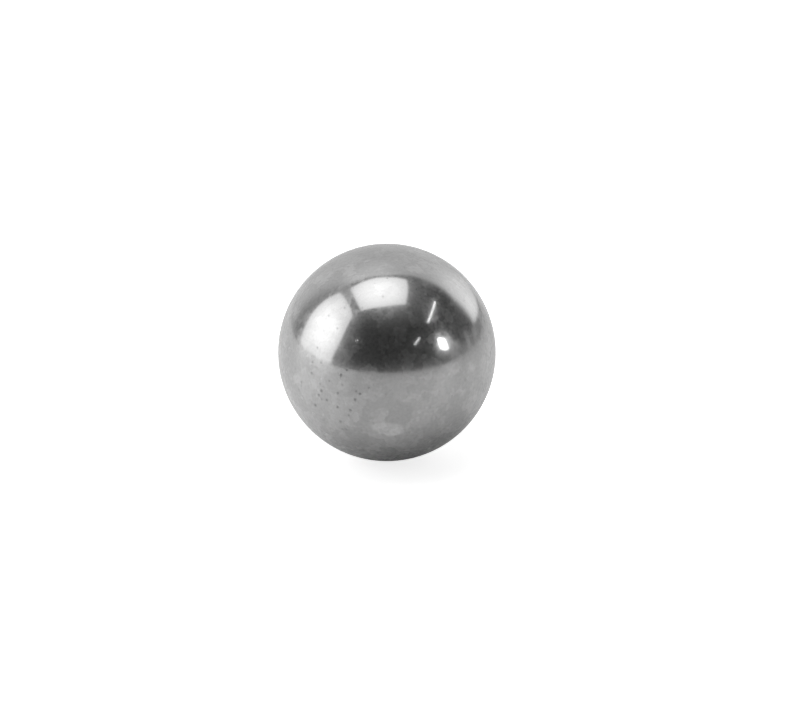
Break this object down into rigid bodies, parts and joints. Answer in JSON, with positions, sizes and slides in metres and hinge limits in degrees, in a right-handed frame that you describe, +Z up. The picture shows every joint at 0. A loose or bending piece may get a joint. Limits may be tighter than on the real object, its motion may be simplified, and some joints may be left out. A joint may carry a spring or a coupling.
{
  "type": "steel ball",
  "caption": "Solid polished steel ball, a true sphere that rolls in a race or groove, seats in a socket or serves as a bench weight.",
  "frame": {"origin": "centre of the ball", "axes": "+Z up; a sphere has no other marked direction, and -Z points at whatever the ball sits on"},
  "size_m": [0.0254, 0.0254, 0.0254],
  "materials": {
    "polished_steel": "lapped and polished bare steel, near mirror, with a faint haze, fine random hairlines and a few tiny pits"
  },
  "bodies": {
    "root": {"ball": "polished_steel"}
  },
  "joints": []
}
